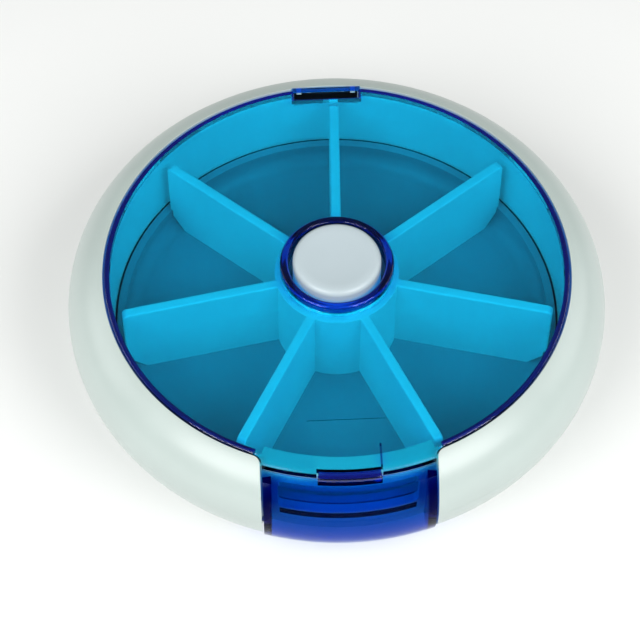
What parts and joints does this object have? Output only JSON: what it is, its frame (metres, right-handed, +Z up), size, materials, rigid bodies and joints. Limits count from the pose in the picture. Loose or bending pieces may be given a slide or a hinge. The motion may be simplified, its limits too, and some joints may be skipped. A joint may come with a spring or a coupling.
{
  "type": "push button carousel organiser",
  "caption": "Round white desk organiser: a pressed centre button turns a compartment wheel under a clear blue hinged lid, and a clear blue front hatch pours out one compartment.",
  "frame": {"origin": "centre of the foot plane, under the button", "axes": "+Z up along the button's axis, the front hatch faces -Y, +X to the right seen from the hatch"},
  "size_m": [0.096, 0.096, 0.0285],
  "materials": {
    "case_white": "gloss moulded",
    "lid_blue": "clear tinted",
    "hatch_blue": "clear tinted",
    "wheel_white": "satin moulded",
    "button_white": "satin moulded",
    "drive_acetal": "moulded",
    "pin_steel": "drawn",
    "spring_steel": "drawn",
    "screw_steel": "plated"
  },
  "bodies": {
    "case": {"upper_case": "case_white", "lower_case": "case_white", "centre_post": "drive_acetal", "centre_screw": "screw_steel", "spring_seat": "pin_steel", "return_spring": "spring_steel", "index_spring": "drive_acetal", "index_screw": "screw_steel"},
    "lid": {"lid": "lid_blue"},
    "hatch": {"front_hatch": "hatch_blue", "hatch_pins": "pin_steel"},
    "wheel": {"wheel_tray": "wheel_white", "divider_star": "wheel_white", "ratchet_ring": "drive_acetal"},
    "button": {"button_cap": "button_white", "button_plunger": "drive_acetal"},
    "drive": {"drive_rotor": "drive_acetal", "pawl_ring": "drive_acetal"}
  },
  "joints": [
    {"name": "lid_hinge", "type": "hinge", "parent": "case", "child": "lid", "pos_m": [0, 0.04055, 0.0258], "axis": [-1, 0, 0], "range_deg": [0, 95]},
    {"name": "hatch_hinge", "type": "hinge", "parent": "case", "child": "hatch", "pos_m": [0, -0.0408, 0.009], "axis": [1, 0, 0], "range_deg": [0, 45]},
    {"name": "wheel_turn", "type": "hinge", "parent": "case", "child": "wheel", "pos_m": [0, 0, 0.0059], "axis": [0, 0, 1], "continuous": true, "deforming": ["index_spring", "pawl_ring"]},
    {"name": "button_press", "type": "slide", "parent": "case", "child": "button", "axis": [0, 0, -1], "range_m": [0, 0.004], "stiffness_N_per_m": 600, "springref_m": -0.003, "deforming": ["return_spring"]},
    {"name": "drive_turn", "type": "hinge", "parent": "case", "child": "drive", "pos_m": [0, 0, 0.00715], "axis": [0, 0, 1], "range_deg": [0, 51.5]}
  ],
  "couplings": [
    {"joint": "drive_turn", "follows": "button_press", "rad_per_m": 224.4}
  ]
}
